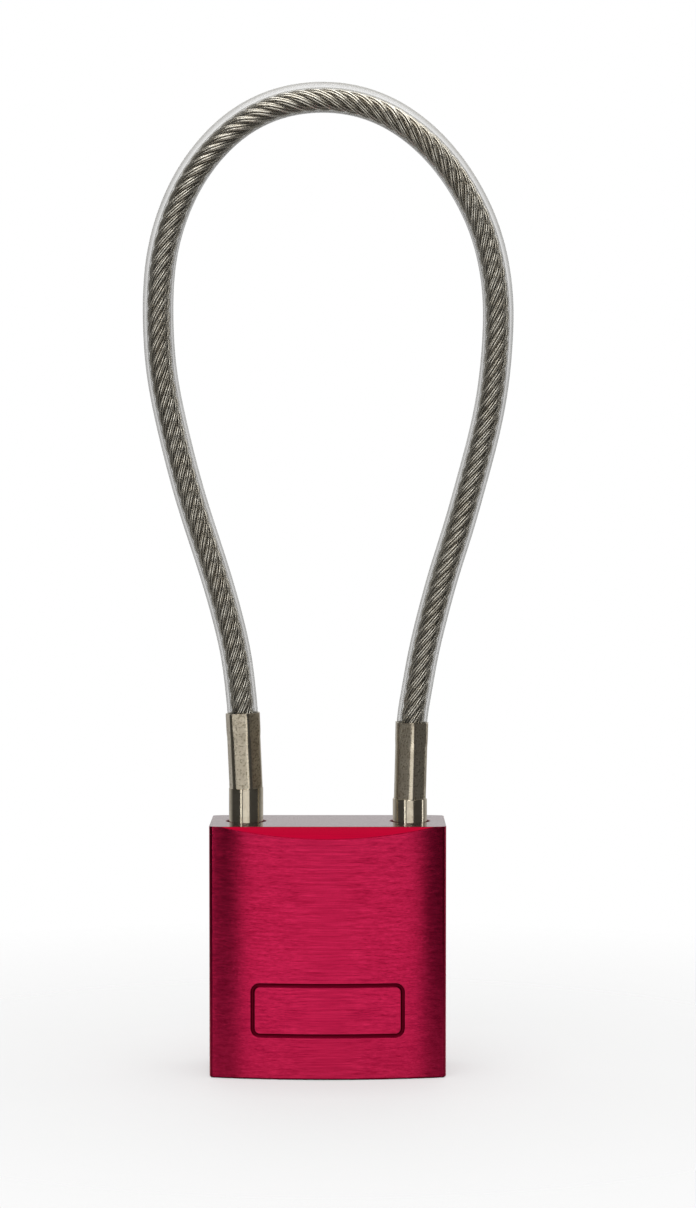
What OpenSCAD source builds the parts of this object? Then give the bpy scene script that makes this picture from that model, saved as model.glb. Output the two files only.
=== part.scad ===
// Cable padlock: an aluminium body, a keyed pin cylinder, a cam with two locking
// balls, and a shackle of jacketed wire rope between two crimped terminals.
// Millimetres. +Z is up, the front faces -Y, and the origin is the centre of the
// body's bottom face. The lock is drawn closed and unlocked, with the plug a
// quarter turn past the place where its pins meet their drivers.

/* [Body] */
// Width of the body
body_w = 30; // [29:0.5:42]
// Height of the body
body_h = 32; // [31:0.5:48]
// Thickness of the body at its middle
body_d = 16; // [14:0.5:24]
// Radius of the curved front and back faces
face_r = 65; // [45:5:200]
// Size of the chamfer along the top of the front and back
top_chamfer = 1.45; // [0.4:0.05:2]
// Break along the upright corners
corner_break = 0.5; // [0.1:0.05:0.8]
// Break around the bottom edge
bottom_break = 0.4; // [0.1:0.05:0.8]
// Countersink at the mouths of the two leg bores
bore_break = 0.15; // [0.05:0.05:0.3]

/* [Legs] */
// Diameter of the terminals where they run in the body
stud_d = 4.4; // [4.2:0.1:5.2]
// Side play between a terminal and its bore, on the radius
leg_play = 0.3; // [0.1:0.05:0.5]
// Depth of aluminium left under the heel bore
heel_floor = 3; // [2:0.25:4]
// Travel of the shackle when it opens
shackle_lift = 9.5; // [8:0.25:10]
// Thickness of the collar at the foot of the heel terminal
collar_t = 1.75; // [1:0.25:2.5]

/* [Crimps] */
// Width across the six crimped flats
crimp_flats = 4.05; // [3.9:0.05:4.3]
// Diameter of the plain ring at a terminal's mouth
lip_d = 4.5; // [4.4:0.05:4.8]
// Height of the plain ring at a terminal's mouth
lip_h = 2; // [1:0.25:3]
// Height of the heel terminal's shoulder above the body
heel_shoulder = 4.3; // [3:0.1:6]
// Height of the heel terminal's mouth above the body
heel_mouth = 13.9; // [13:0.1:15]
// Outward lean of the heel terminal's socket, in degrees
heel_lean = 2.5; // [0:0.5:4]
// Height of the toe terminal's shoulder above the body
toe_shoulder = 2.9; // [2:0.1:5]
// Height of the toe terminal's mouth above the body
toe_mouth = 12.7; // [12:0.1:14]
// Outward lean of the toe terminal's socket, in degrees
toe_lean = 1.5; // [0:0.5:4]
// Depth of the rope in each socket
rope_seat = 8; // [5:0.5:8.5]

/* [Cable] */
// Diameter of the bare wire rope
rope_d = 3; // [2.4:0.1:3.2]
// Diameter over the plastic jacket
jacket_d = 3.9; // [3.5:0.05:4]

/* [Cylinder] */
// Diameter of the cylinder housing
housing_d = 12.4; // [11.6:0.2:14]
// Length of the cylinder housing
housing_len = 20.1; // [19:0.1:21]
// How far the cylinder's face lies inside the body
face_recess = 0.3; // [0.1:0.05:0.8]
// Width of the housing's pin fin
fin_w = 5; // [4:0.25:6]
// Reach of the fin from the plug's axis
fin_reach = 12.6; // [12:0.1:13]
// Diameter of the plug
plug_d = 8; // [7:0.25:9]
// Extra radius of the plug's head
head_step = 0.6; // [0.3:0.1:0.9]
// Thickness of the plug's head
head_t = 1.2; // [0.8:0.1:1.6]
// Width of the key slot
keyway_w = 1.2; // [0.8:0.1:1.6]
// Wall of the plug beside the closed end of the key slot
keyway_wall = 0.7; // [0.5:0.1:1]

/* [Pins] */
// Diameter of the pins
pin_d = 1.9; // [1.5:0.1:2.3]
// Distance between two pins
pin_pitch = 3.2; // [3:0.1:3.4]
// Height of the first pin above the cylinder's face
first_pin = 3.7; // [3:0.1:4]
// Length of the driver pins
driver_len = 3; // [2.5:0.25:3.5]
// Thickness of the caps that close the pin chambers
cap_t = 0.7; // [0.5:0.1:1]
// Outside diameter of the pin springs
pin_spring_d = 1.7; // [1.3:0.1:1.8]
// Wire of the pin springs
pin_wire = 0.25; // [0.15:0.05:0.3]

/* [Locking] */
// Smallest radius of the cam
cam_min = 5; // [4.5:0.1:5.2]
// How far the cam pushes each ball
ball_throw = 0.95; // [0.7:0.05:1]
// Diameter of the locking balls
ball_d = 3.2; // [3:0.1:3.6]
// Diameter of the pin that keeps the heel terminal in
stop_d = 1.5; // [1:0.1:1.8]
// Thickness of the clip behind the plug
clip_t = 0.6; // [0.4:0.1:0.8]
// Outside diameter of the shackle spring
shackle_spring_d = 4.4; // [3.8:0.1:4.6]
// Wire of the shackle spring
shackle_wire = 0.6; // [0.4:0.1:0.8]

/* [Screw] */
// Thread diameter of the cylinder screw
screw_d = 2; // [1.6:0.1:2.3]
// Head diameter of the cylinder screw
screw_head_d = 3.8; // [3:0.1:4]
// Head height of the cylinder screw
screw_head_h = 1.2; // [0.8:0.1:1.6]
// Hold of the screw in the housing
screw_hold = 2.1; // [1.5:0.1:2.3]
// Web of aluminium between the housing and the toe bore
web_t = 1.5; // [1:0.25:2]

/* [Clearances] */
// Clearance of a piece that is pushed in and stays, on the radius
fit_gap = 0.05; // [0.03:0.01:0.08]
// Clearance of a piece that turns or slides, on the radius
run_gap = 0.03; // [0.02:0.01:0.05]
// Clearance of a screw, a stop or a loose end
free_gap = 0.1; // [0.08:0.01:0.15]

/* [Hidden] */

$fn = 64;
eps = 0.01;
heel = -1;
toe = 1;
plug_turn = 90;
pin_count = 5;

// Heights, from the bottom up
housing_top = face_recess + housing_len;
clip_z = housing_top + run_gap;
neck_h = clip_t + 2 * run_gap;
flange_t = 0.3;
hub_floor = 0.84;
ball_cover = 0.2;
cam_headroom = 0.7;
stop_rise = 1.6;
end_room = 0.25;
tongue_h = 2.5;
tongue_z = housing_top + neck_h + flange_t;
hub_z = tongue_z + free_gap;
cam_z = tongue_z + tongue_h + hub_floor;
cam_t = ball_d + 2 * ball_cover;
ball_z = cam_z + cam_t / 2;
cavity_top = cam_z + cam_t + cam_headroom;
toe_floor = housing_top + web_t;
toe_end = toe_floor + screw_head_h + 4 * free_gap;
stop_z = housing_top + stop_rise;
neck_top = stop_z + stop_d / 2 + end_room;
collar_top = stop_z - stop_d / 2 - free_gap - shackle_lift;
heel_end = collar_top - collar_t;

// Radii and reaches, from the axis of the plug outwards
plug_r = plug_d / 2;
plug_neck_r = 2 * plug_r / 3;
plug_flange_r = 0.8 * plug_r;
housing_r = housing_d / 2;
stud_r = stud_d / 2;
bore_r = stud_r + leg_play;
ridge_step = 0.04;
ridge_r = stud_r - ridge_step;
ball_r = ball_d / 2;
ball_rest = cam_min + fit_gap + ball_r;
ball_locked = ball_rest + ball_throw;
leg_x = ball_rest + ball_r + fit_gap + stud_r;
neck_r = leg_x - ball_locked - ball_r - fit_gap;
cam_max = cam_min + ball_throw;
cavity_r = max(housing_r + fit_gap, cam_max + end_room);
corner_y = body_d / 2 - face_r + sqrt(pow(face_r, 2) - pow(body_w / 2, 2));

// Pins: how far each key pin can drop when no key holds it
key_drop = [1.35, 0.75, 1.15, 0.55, 0.95];
pin_floor = 0.5;
pin_r = pin_d / 2;
chamber_r = pin_r + fit_gap;
key_pin_end = sqrt(pow(plug_r, 2) - pow(pin_r, 2)) - run_gap;
cap_inset = 0.3;
cap_x = fin_reach - cap_inset - cap_t;
driver_x = plug_r + run_gap;
pin_spring_x = driver_x + driver_len + run_gap;
keyway_end = 2.4;
ward_d = 0.45;
tongue_w = 1.5;
tongue_l = 5;

// The cable's route between the two mouths, in the plane of the legs:
// x, and height above the body
ROUTE = [[-11.2, 17], [-11.7, 21], [-12.8, 26], [-14.2, 31], [-15.8, 36], [-17.4, 41],
    [-18.9, 46.5], [-20.2, 52], [-21.2, 57.5], [-21.6, 63], [-21.6, 67.5], [-21.1, 72.5],
    [-19.9, 77], [-17.9, 81.5], [-15.2, 85.4], [-11.9, 88.6], [-8.2, 90.8], [-4.2, 92],
    [0, 92.3], [4.2, 91.7], [8.2, 90.1], [11.8, 87.6], [15.1, 84.2], [17.8, 80.2],
    [19.8, 76], [21.1, 71.4], [21.7, 66.5], [21.6, 61], [21, 55], [19.8, 49], [18.2, 43],
    [16.5, 37], [14.9, 32], [13.4, 26.5], [12.2, 21.5], [11.4, 17]];
TUBE_SIDES = 8;

function along_leg(side, lean, shoulder, height) =
    [side * (leg_x + (height - shoulder) * tan(lean)), height];
function heel_point(height) = along_leg(heel, heel_lean, heel_shoulder, height);
function toe_point(height) = along_leg(toe, toe_lean, toe_shoulder, height);
heel_bottom = heel_point(heel_mouth - rope_seat);
toe_bottom = toe_point(toe_mouth - rope_seat);
jacket_route = concat([heel_point(heel_mouth - lip_h + free_gap), heel_point(heel_mouth)],
    ROUTE, [toe_point(toe_mouth), toe_point(toe_mouth - lip_h + free_gap)]);
rope_route = concat([heel_bottom], jacket_route, [toe_bottom]);

// One ring of a tube that follows a route in the X-Z plane
function unit(v) = v / norm(v);
function heading(path, i) = let (last = len(path) - 1)
    unit(unit(path[min(i + 1, last)] - path[min(i, last - 1)])
        + unit(path[max(i, 1)] - path[max(i - 1, 0)]));
function ring(path, i, r) = let (t = heading(path, i))
    [for (k = [0 : TUBE_SIDES - 1]) let (a = 360 * (k + 0.5) / TUBE_SIDES)
        [path[i][0] + r * cos(a) * t[1], r * sin(a),
            path[i][1] - r * cos(a) * t[0] + body_h]];
function flat_list(rows) = [for (row = rows) for (item = row) item];
// Two triangles for each side of the band between two rings
function band(low, high, n) = flat_list([for (k = [0 : n - 1]) let (m = (k + 1) % n)
    [[low + k, high + k, high + m], [low + k, high + m, low + m]]]);

module solid_tube(path, r) {
    n = TUBE_SIDES;
    last = len(path) - 1;
    points = flat_list([for (i = [0 : last]) ring(path, i, r)]);
    sides = flat_list([for (i = [0 : last - 1]) band(i * n, (i + 1) * n, n)]);
    polyhedron(points, concat(sides, [[for (k = [0 : n - 1]) k],
        [for (k = [n - 1 : -1 : 0]) last * n + k]]));
}

module hollow_tube(path, r, bore) {
    n = TUBE_SIDES;
    last = len(path) - 1;
    inner = (last + 1) * n;
    points = concat(flat_list([for (i = [0 : last]) ring(path, i, r)]),
        flat_list([for (i = [0 : last]) ring(path, i, bore)]));
    sides = flat_list([for (i = [0 : last - 1]) concat(band(i * n, (i + 1) * n, n),
        band(inner + (i + 1) * n, inner + i * n, n))]);
    polyhedron(points, concat(sides, band(inner, 0, n), band(last * n, inner + last * n, n)));
}

module coil_spring(outer_d, wire, length, turns, steps) {
    sides = 5;
    rings = turns * steps;
    r = (outer_d - wire) / 2;
    rise = length - wire;
    points = flat_list([for (i = [0 : rings]) [for (k = [0 : sides - 1])
        let (a = 360 * i / steps, b = 360 * k / sides, d = r + wire / 2 * cos(b))
            [d * cos(a), d * sin(a), wire / 2 + rise * i / rings + wire / 2 * sin(b)]]]);
    bands = flat_list([for (i = [0 : rings - 1]) band(i * sides, (i + 1) * sides, sides)]);
    polyhedron(points, concat(bands, [[for (k = [0 : sides - 1]) k],
        [for (k = [sides - 1 : -1 : 0]) rings * sides + k]]));
}

// A cylinder with a chamfered far end
module pin_shape(r, length, chamfer) {
    rotate_extrude()
        polygon([[0, 0], [r, 0], [r, length - chamfer], [r - chamfer, length], [0, length]]);
}

module cylinder_from(z, r, h) {
    translate([0, 0, z]) cylinder(r = r, h = h);
}

// Places its child at every pin, turned to point along +X
module at_pins() {
    for (n = [0 : pin_count - 1])
        translate([0, 0, pin_z(n)]) rotate([0, 90, 0]) children();
}
function pin_z(n) = face_recess + first_pin + n * pin_pitch;

// Outline of the housing, grown all round by gap
module pear_outline(gap) {
    circle(r = housing_r + gap);
    end_x = fin_reach - fin_w / 2;
    translate([0, -fin_w / 2 - gap]) square([end_x, fin_w + 2 * gap]);
    translate([end_x, 0]) circle(r = fin_w / 2 + gap);
}

// One curved face of the body, with the break at its foot
module face_drum(side) {
    translate([0, side * (body_d / 2 - face_r), 0]) {
        cylinder(r1 = face_r - bottom_break, r2 = face_r, h = bottom_break, $fn = 256);
        translate([0, 0, bottom_break])
            cylinder(r = face_r, h = body_h - bottom_break, $fn = 256);
    }
}

module body_block() {
    root2 = sqrt(2);
    difference() {
        intersection() {
            face_drum(-1);
            face_drum(1);
            translate([-body_w / 2, -body_d, 0]) cube([body_w, 2 * body_d, body_h]);
        }
        for (side = [-1, 1]) {
            translate([0, side * body_d / 2, body_h]) rotate([45, 0, 0])
                cube([body_w + 2, top_chamfer * root2, top_chamfer * root2], center = true);
            translate([side * body_w / 2, 0, 0]) rotate([0, 45, 0])
                cube([bottom_break * root2, 2 * body_d, bottom_break * root2], center = true);
            for (end = [-1, 1])
                translate([end * body_w / 2, side * corner_y, body_h / 2]) rotate([0, 0, 45])
                    cube([corner_break * root2, corner_break * root2, body_h + 2], center = true);
        }
    }
}

module leg_bore(side, floor_z) {
    translate([side * leg_x, 0, floor_z]) cylinder(r = bore_r, h = body_h - floor_z + eps);
    translate([side * leg_x, 0, body_h - bore_break])
        cylinder(r1 = bore_r, r2 = bore_r + 2 * bore_break, h = 2 * bore_break);
}

module lock_body() {
    color("crimson") difference() {
        body_block();
        translate([0, 0, -eps]) linear_extrude(housing_top + fit_gap + eps) pear_outline(fit_gap);
        translate([0, 0, housing_top - eps]) cylinder(r = cavity_r, h = cavity_top - housing_top);
        leg_bore(heel, heel_floor);
        leg_bore(toe, toe_floor);
        translate([-leg_x, 0, ball_z]) rotate([0, 90, 0])
            cylinder(r = ball_r + fit_gap, h = 2 * leg_x);
        translate([-leg_x, 0, stop_z]) rotate([0, 90, 0])
            cylinder(d = stop_d + 2 * eps, h = leg_x);
        translate([leg_x, 0, housing_top - eps])
            cylinder(r = screw_d / 2 + free_gap, h = web_t + 2 * eps);
    }
}

// The crimped socket that the cable goes into, standing on a terminal's shoulder
module crimp_socket(length, turn) {
    sink = 0.2;
    mouth_break = 0.12;
    difference() {
        union() {
            intersection() {
                translate([0, 0, -sink]) cylinder(r = ridge_r, h = length - lip_h + sink);
                rotate([0, 0, turn]) translate([0, 0, -sink])
                    cylinder(r = crimp_flats / sqrt(3), h = length + sink, $fn = 6);
            }
            translate([0, 0, length - lip_h]) pin_shape(lip_d / 2, lip_h, mouth_break);
        }
        translate([0, 0, length - lip_h]) cylinder(d = jacket_d + 2 * fit_gap, h = lip_h + eps);
        translate([0, 0, length - rope_seat - free_gap])
            cylinder(d = rope_d + 2 * fit_gap, h = rope_seat + free_gap);
    }
}

// A terminal's leg: a plain stud from foot up to shoulder, notched for its ball
module leg_stud(side, foot, shoulder) {
    lead_in = 0.6;
    difference() {
        translate([side * leg_x, 0, shoulder]) mirror([0, 0, 1])
            pin_shape(stud_r, shoulder - foot, lead_in);
        translate([side * ball_locked, 0, ball_z]) rotate([90, 0, 0])
            cylinder(r = ball_r + free_gap + fit_gap, h = stud_d + 2, center = true);
    }
}

module socket_on(side, shoulder, mouth, lean, turn) {
    translate([side * leg_x, 0, body_h + shoulder]) rotate([0, side * lean, 0])
        crimp_socket((mouth - shoulder) / cos(lean), turn);
}

module heel_terminal() {
    flat_turn = -13;
    color("silver") {
        difference() {
            leg_stud(heel, heel_end, body_h + heel_shoulder);
            translate([-leg_x, 0, collar_top]) difference() {
                cylinder(r = stud_r + 1, h = neck_top - collar_top);
                translate([0, 0, -1]) cylinder(r = neck_r, h = neck_top - collar_top + 2);
            }
        }
        socket_on(heel, heel_shoulder, heel_mouth, heel_lean, flat_turn);
    }
}

module toe_terminal() {
    ridge_turn = 34;
    color("silver") {
        leg_stud(toe, toe_end, body_h + toe_shoulder);
        socket_on(toe, toe_shoulder, toe_mouth, toe_lean, ridge_turn);
    }
}

module wire_rope() {
    color("gray") solid_tube(rope_route, rope_d / 2);
}

module cable_jacket() {
    color("lightgray") hollow_tube(jacket_route, jacket_d / 2, rope_d / 2 + fit_gap);
}

module cylinder_housing() {
    color("goldenrod") difference() {
        translate([0, 0, face_recess]) linear_extrude(housing_len) pear_outline(0);
        translate([0, 0, face_recess - eps]) {
            cylinder(r = plug_r + run_gap, h = housing_len + 2 * eps);
            cylinder(r = plug_r + head_step + run_gap, h = head_t + run_gap + eps);
        }
        at_pins() cylinder(r = chamber_r, h = fin_reach + 1);
        translate([leg_x, 0, housing_top - screw_hold - free_gap])
            cylinder(r = screw_d / 2 + run_gap, h = screw_hold + 1);
    }
}

// Cross-section of the key slot, with a ward in one side
module keyway_outline() {
    slot = keyway_end + plug_r - keyway_wall;
    ward_at = 0.65;
    ward_share = 0.3;
    translate([keyway_end - slot, -keyway_w / 2]) square([slot, keyway_w]);
    translate([keyway_end - ward_at * slot, -keyway_w / 2 - ward_d])
        square([ward_share * slot, keyway_w / 2 + ward_d]);
}

module plug() {
    tip_room = 0.6;
    slot_top = pin_z(pin_count - 1) + pin_r + tip_room;
    color("gold") rotate([0, 0, plug_turn]) difference() {
        union() {
            translate([0, 0, face_recess]) cylinder(r = plug_r, h = housing_len);
            translate([0, 0, face_recess]) cylinder(r = plug_r + head_step, h = head_t);
            cylinder_from(housing_top - eps, plug_neck_r, neck_h + 2 * eps);
            cylinder_from(housing_top + neck_h, plug_flange_r, flange_t);
            translate([-tongue_w / 2, -tongue_l / 2, tongue_z - eps])
                cube([tongue_w, tongue_l, tongue_h + eps]);
        }
        translate([0, 0, -eps]) linear_extrude(slot_top) keyway_outline();
        at_pins() translate([0, 0, pin_floor]) cylinder(r = chamber_r, h = plug_r);
    }
}

module plug_clip() {
    opening = 2.4;
    inner_r = plug_neck_r + run_gap;
    overhang = 0.9;
    color("dimgray") translate([0, 0, clip_z]) difference() {
        cylinder(r = plug_r + overhang, h = clip_t);
        translate([0, 0, -eps]) cylinder(r = inner_r, h = clip_t + 2 * eps);
        translate([-opening, 0, -eps]) cube([2 * opening, 2 * plug_r, clip_t + 2 * eps]);
    }
}

// Two-lobed cam: its radius falls evenly from each lobe to the flank between them
module locking_rotor() {
    step = 3;
    hub_wall = 0.85;
    hub_r = tongue_l / 2 + hub_wall;
    color("darkgoldenrod") difference() {
        union() {
            cylinder_from(hub_z, hub_r, cam_z - hub_z + eps);
            translate([0, 0, cam_z]) linear_extrude(cam_t)
                polygon([for (a = [0 : step : 360 - step]) let (off = abs(90 - a % 180))
                    (cam_max - ball_throw * off / 90) * [cos(a), sin(a)]]);
        }
        rotate([0, 0, plug_turn])
            translate([-tongue_w / 2 - free_gap, -tongue_l / 2 - free_gap, hub_z - 1])
                cube([tongue_w + 2 * free_gap, tongue_l + 2 * free_gap, tongue_h + 1]);
    }
}

module locking_ball(side) {
    color("lightsteelblue") translate([side * ball_rest, 0, ball_z]) sphere(r = ball_r);
}

// Key pin n, counted from 1, in the plug's chamber with its point on the key slot
module key_pin(n) {
    drop = key_drop[n - 1];
    length = key_pin_end - pin_floor - drop;
    color("peru") rotate([0, 0, plug_turn])
        translate([pin_floor + drop, 0, pin_z(n - 1)]) rotate([0, 90, 0]) rotate_extrude()
            polygon([[0, 0], [pin_r / 3, 0], [pin_r, 2 * pin_r / 3], [pin_r, length], [0, length]]);
}

module driver_pin(n) {
    chamfer = 0.2;
    color("silver") translate([driver_x, 0, pin_z(n - 1)]) rotate([0, 90, 0])
        pin_shape(pin_r, driver_len, chamfer);
}

module pin_spring(n) {
    turns = 7;
    color("slategray") translate([pin_spring_x, 0, pin_z(n - 1)]) rotate([0, 90, 0])
        coil_spring(pin_spring_d, pin_wire, cap_x - run_gap - pin_spring_x, turns, 8);
}

module chamber_caps() {
    color("goldenrod") at_pins() translate([0, 0, cap_x])
        cylinder(r = chamber_r - run_gap, h = cap_t);
}

module cylinder_screw() {
    hex_key = 1.5;
    color("dimgray") translate([leg_x, 0, 0]) difference() {
        union() {
            cylinder_from(housing_top - screw_hold, screw_d / 2, screw_hold + web_t + 2 * run_gap);
            cylinder_from(toe_floor + run_gap, screw_head_d / 2, screw_head_h);
        }
        translate([0, 0, toe_floor + screw_head_h / 3])
            cylinder(r = hex_key / sqrt(3), h = screw_head_h, $fn = 6);
    }
}

module shackle_spring() {
    turns = 6;
    color("slategray") translate([-leg_x, 0, heel_floor + run_gap])
        coil_spring(shackle_spring_d, shackle_wire, heel_end - heel_floor - 2 * run_gap, turns, 12);
}

module heel_stop_pin() {
    reach = leg_x - neck_r - free_gap - fit_gap;
    color("dimgray") translate([-reach, 0, stop_z]) rotate([0, 90, 0])
        cylinder(d = stop_d, h = reach - cavity_r);
}

lock_body();
heel_terminal();
toe_terminal();
wire_rope();
cable_jacket();
cylinder_housing();
plug();
plug_clip();
locking_rotor();
locking_ball(heel);  // heel_ball
locking_ball(toe);  // toe_ball
key_pin(1);  // key_pin_1
key_pin(2);  // key_pin_2
key_pin(3);  // key_pin_3
key_pin(4);  // key_pin_4
key_pin(5);  // key_pin_5
driver_pin(1);  // driver_pin_1
driver_pin(2);  // driver_pin_2
driver_pin(3);  // driver_pin_3
driver_pin(4);  // driver_pin_4
driver_pin(5);  // driver_pin_5
pin_spring(1);  // pin_spring_1
pin_spring(2);  // pin_spring_2
pin_spring(3);  // pin_spring_3
pin_spring(4);  // pin_spring_4
pin_spring(5);  // pin_spring_5
chamber_caps();
cylinder_screw();
shackle_spring();
heel_stop_pin();
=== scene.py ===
"""Cable padlock: the finished look of every visible piece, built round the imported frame.

All sizes are in millimetres and are turned into metres when a mesh is made. +Z is up, the
front faces -Y, and the origin is the centre of the body's bottom face.
"""

from __future__ import annotations

import logging
import math
from dataclasses import dataclass
from enum import Enum
from typing import Iterable, Sequence

import bmesh
import bpy
import numpy as np
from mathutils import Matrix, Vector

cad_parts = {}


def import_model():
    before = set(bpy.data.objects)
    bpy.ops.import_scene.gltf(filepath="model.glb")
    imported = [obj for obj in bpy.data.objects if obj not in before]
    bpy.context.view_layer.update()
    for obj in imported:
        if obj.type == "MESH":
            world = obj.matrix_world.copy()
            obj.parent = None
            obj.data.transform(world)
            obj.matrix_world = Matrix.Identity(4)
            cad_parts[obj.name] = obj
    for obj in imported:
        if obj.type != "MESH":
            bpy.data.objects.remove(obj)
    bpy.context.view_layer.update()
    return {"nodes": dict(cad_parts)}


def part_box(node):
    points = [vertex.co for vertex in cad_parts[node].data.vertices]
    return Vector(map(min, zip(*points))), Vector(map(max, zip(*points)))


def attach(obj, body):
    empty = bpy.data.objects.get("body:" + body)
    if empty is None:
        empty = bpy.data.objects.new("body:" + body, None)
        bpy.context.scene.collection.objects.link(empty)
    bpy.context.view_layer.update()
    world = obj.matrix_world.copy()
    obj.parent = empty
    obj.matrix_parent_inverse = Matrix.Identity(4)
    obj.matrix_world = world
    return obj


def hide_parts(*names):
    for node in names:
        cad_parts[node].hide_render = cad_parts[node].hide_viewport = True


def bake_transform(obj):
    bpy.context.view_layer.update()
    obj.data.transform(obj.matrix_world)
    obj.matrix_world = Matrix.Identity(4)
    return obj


MM = 0.001
LOG = logging.getLogger("padlock")
Point = tuple[float, float, float]
Colour = tuple[float, float, float, float]
Piece = bpy.types.Object
Finish = bpy.types.Material
Node = bpy.types.Node
Socket = bpy.types.NodeSocket
Tree = bpy.types.NodeTree


class Side(Enum):
    """The two legs, valued by their place along X."""

    HEEL = -1
    TOE = 1


class Zone(Enum):
    """How a turned or milled surface was left, valued by its slot in the mesh."""

    FACE = 0
    TOP = 1
    # the groove and bore walls: a rougher cut finish whose darker red is painted shade in those
    # recesses
    CUT = 2
    CHAMFER = 3


# ---------------------------------------------------------------- mesh helpers


def linked(name: str, data: bpy.types.ID) -> Piece:
    """Makes an object of some data and links it to the scene."""
    made = bpy.data.objects.new(name, data)
    bpy.context.scene.collection.objects.link(made)
    return made


def mesh_object(name: str, points: np.ndarray, faces: Sequence[Sequence[int]]) -> Piece:
    """Makes a smooth-shaded mesh object from points in millimetres.

    Args:
        name: the piece's name.
        points: one row of x, y, z per vertex.
        faces: vertex numbers of each face.

    Returns:
        The new object, linked to the scene.
    """
    mesh = bpy.data.meshes.new(name)
    mesh.from_pydata((np.asarray(points, float) * MM).tolist(), [], [list(f) for f in faces])
    mesh.update()
    mesh.shade_smooth()
    return linked(name, mesh)


def ring_faces(rings: int, sides: int, closed: bool = False) -> list[list[int]]:
    """Joins successive rings of a skin with four-sided faces.

    Args:
        rings: how many rings there are.
        sides: how many points each ring has.
        closed: whether the last ring joins the first.

    Returns:
        The faces, wound to face outwards for rings that turn anticlockwise about their path.
    """
    faces = []
    for i in range(rings if closed else rings - 1):
        low, high = i * sides, ((i + 1) % rings) * sides
        for k in range(sides):
            m = (k + 1) % sides
            faces.append([low + k, low + m, high + m, high + k])
    return faces


def capped_faces(rings: int, sides: int) -> list[list[int]]:
    """Joins the rings of a skin and closes its two ends."""
    last = (rings - 1) * sides
    caps = [list(range(sides))[::-1], [last + k for k in range(sides)]]
    return ring_faces(rings, sides) + caps


def full_turn(sides: int) -> np.ndarray:
    """Returns evenly spaced angles round a circle."""
    return 2 * math.pi * np.arange(sides) / sides


def ring_at(x: float, y: float, radius: float, angles: np.ndarray) -> np.ndarray:
    """Returns the points at some angles of a flat circle about x, y."""
    return np.stack([x + radius * np.cos(angles), y + radius * np.sin(angles)], 1)


def level(points: np.ndarray, height: float | np.ndarray) -> np.ndarray:
    """Lifts flat points to a height."""
    return np.column_stack([points, np.broadcast_to(height, len(points))])


def swept(
    line: np.ndarray, across: np.ndarray, up: np.ndarray, radius: float, sides: int
) -> np.ndarray:
    """Sweeps a circle along a line.

    Args:
        line: the middle of each ring.
        across: the direction of each ring's first point.
        up: the direction a quarter turn further round.
        radius: the circle's radius.
        sides: how many points each ring has.

    Returns:
        The points, ring by ring.
    """
    angles = full_turn(sides)[None, :, None]
    skin = (
        line[:, None, :]
        + radius * np.cos(angles) * across[:, None, :]
        + radius * np.sin(angles) * up[:, None, :]
    )
    return skin.reshape(-1, 3)


def settle(piece: Piece) -> None:
    """Applies every modifier on a piece."""
    graph = bpy.context.evaluated_depsgraph_get()
    mesh = bpy.data.meshes.new_from_object(piece.evaluated_get(graph))
    piece.modifiers.clear()
    piece.data = mesh


def carve(piece: Piece, cutters: Iterable[Piece]) -> None:
    """Cuts each cutter out of a piece, then deletes the cutter."""
    for cutter in cutters:
        cut = piece.modifiers.new("cut", "BOOLEAN")
        cut.operation = "DIFFERENCE"
        cut.solver = "EXACT"
        cut.object = cutter
        settle(piece)
        bpy.data.objects.remove(cutter)


def turned(
    name: str,
    profile: Sequence[tuple[float, float]],
    centre: Point,
    axis: str = "Z",
    sides: int = 96,
) -> Piece:
    """Makes a closed turned solid.

    Args:
        name: the piece's name.
        profile: radius and distance along the axis of each corner, from one end to the other.
        centre: where the axis starts.
        axis: the row axis that it is turned about.
        sides: how many sides it has.

    Returns:
        The solid.
    """
    order = {"Z": (0, 1, 2), "X": (2, 0, 1), "Y": (1, 2, 0)}[axis]
    rows = [
        level(ring_at(0, 0, radius, full_turn(sides)), along)[:, order] + np.array(centre)
        for radius, along in profile
    ]
    return mesh_object(name, np.concatenate(rows), capped_faces(len(rows), sides))


def sharpen(piece: Piece, degrees: float) -> None:
    """Shades a piece smooth but for the edges that turn by more than the given angle."""
    piece.data.shade_smooth()
    piece.data.set_sharp_from_angle(angle=math.radians(degrees))


def mark_points(piece: Piece, name: str, rows: Sequence[np.ndarray]) -> None:
    """Stores one number per vertex on a piece, for its finish to read."""
    mask = piece.data.attributes.new(name, "FLOAT", "POINT")
    mask.data.foreach_set("value", np.concatenate(rows).astype(np.float32))


# ---------------------------------------------------------------- shader helpers


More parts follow.
